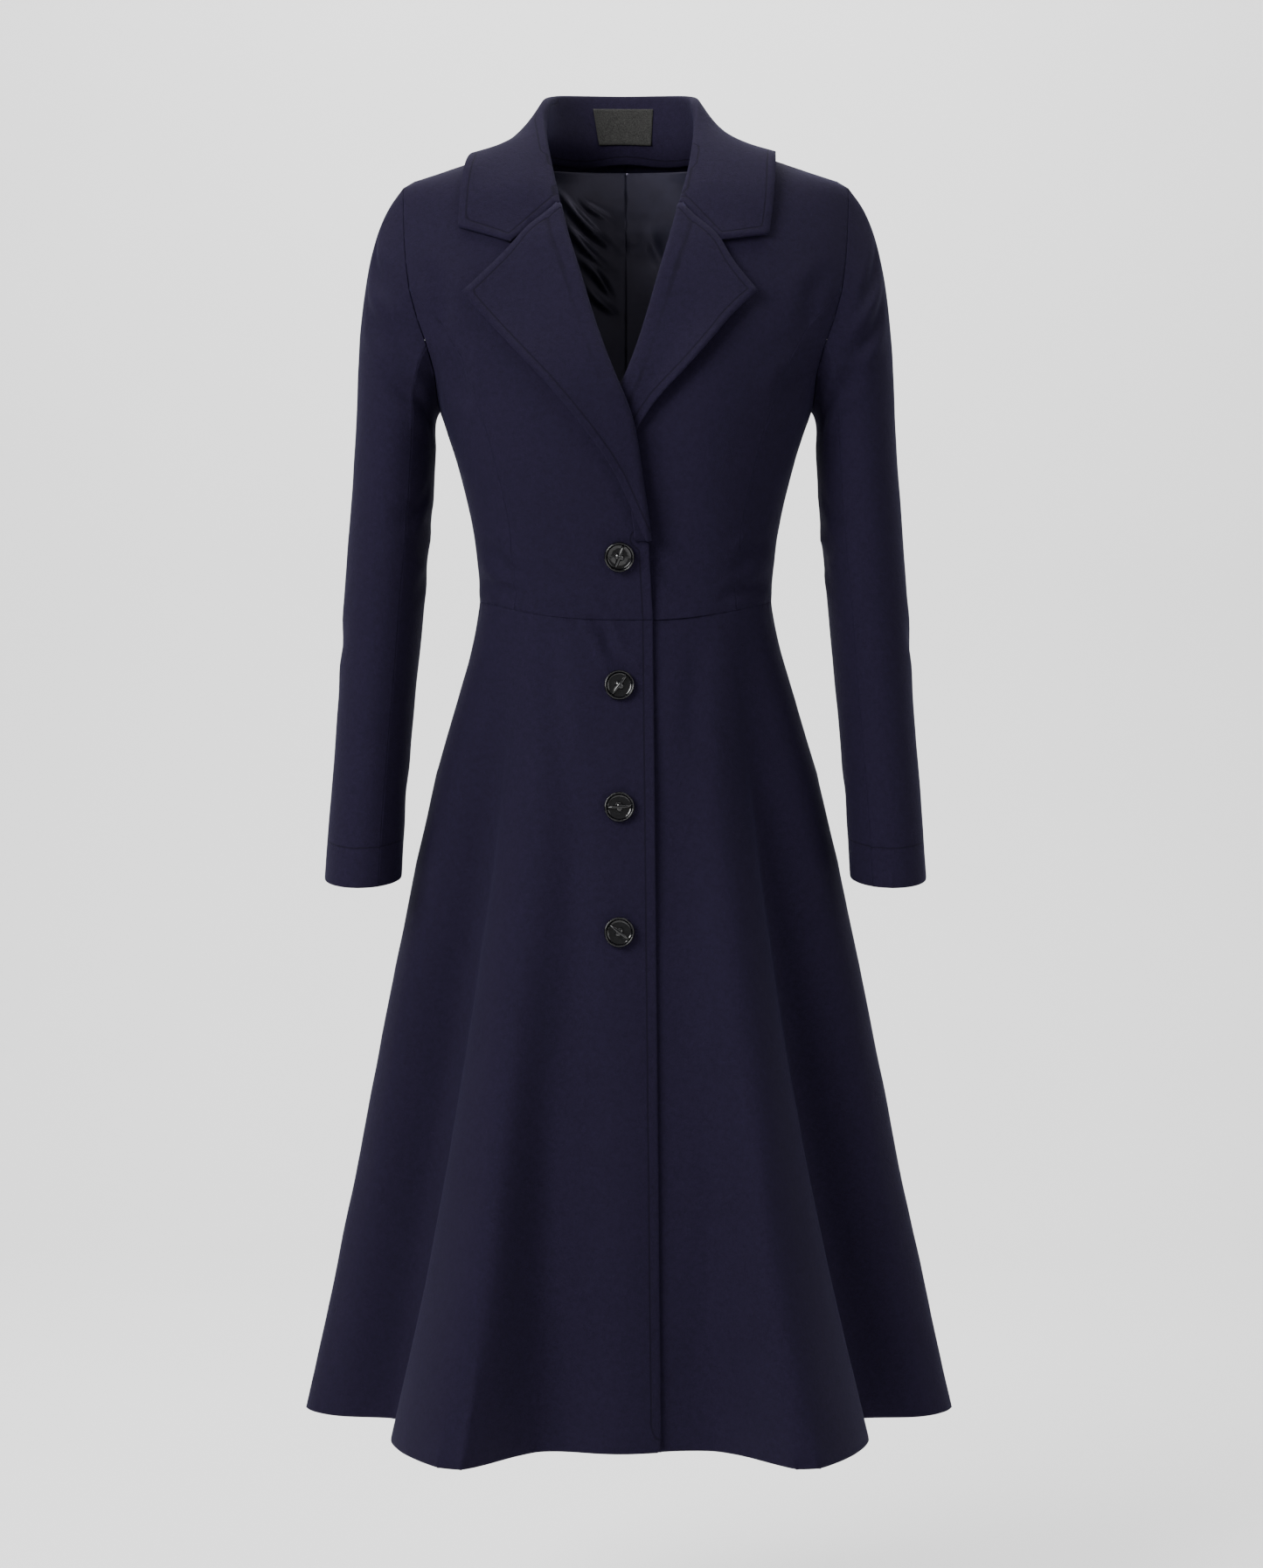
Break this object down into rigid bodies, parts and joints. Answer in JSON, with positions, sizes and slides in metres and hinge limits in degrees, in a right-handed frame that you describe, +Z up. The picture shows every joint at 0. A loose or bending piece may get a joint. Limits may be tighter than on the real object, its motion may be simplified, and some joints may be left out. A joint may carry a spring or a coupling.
{
  "type": "wool coat",
  "caption": "Knee-length single-breasted wool coat with notched lapels, waist seam and flared skirt, closed right over left and standing open and hollow as worn.",
  "frame": {"origin": "midway between the two shoulder neck points, where the wearer's shoulders carry the coat", "axes": "+Z up, the front faces -Y, +X to the wearer's left"},
  "size_m": [0.5598, 0.3913, 1.1492],
  "materials": {
    "wool": "dark navy wool melton, matt with a fine short nap",
    "satin": "dark navy satin lining, soft sheen",
    "label": "plain black grained label, matt",
    "button": "glossy black domed button"
  },
  "bodies": {
    "root": {"bodice_front_right": "wool", "bodice_side_front_right": "wool", "bodice_side_back_right": "wool", "bodice_back_right": "wool", "skirt_front_right": "wool", "skirt_back_right": "wool", "sleeve_top_right": "wool", "sleeve_under_right": "wool", "lapel_right": "wool", "bodice_front_left": "wool", "bodice_side_front_left": "wool", "bodice_side_back_left": "wool", "bodice_back_left": "wool", "skirt_front_left": "wool", "skirt_back_left": "wool", "sleeve_top_left": "wool", "sleeve_under_left": "wool", "lapel_left": "wool", "collar": "wool", "lining_back_right": "satin", "lining_back_left": "satin", "label": "label", "button_1": "button", "button_2": "button", "button_3": "button", "button_4": "button"}
  },
  "joints": []
}
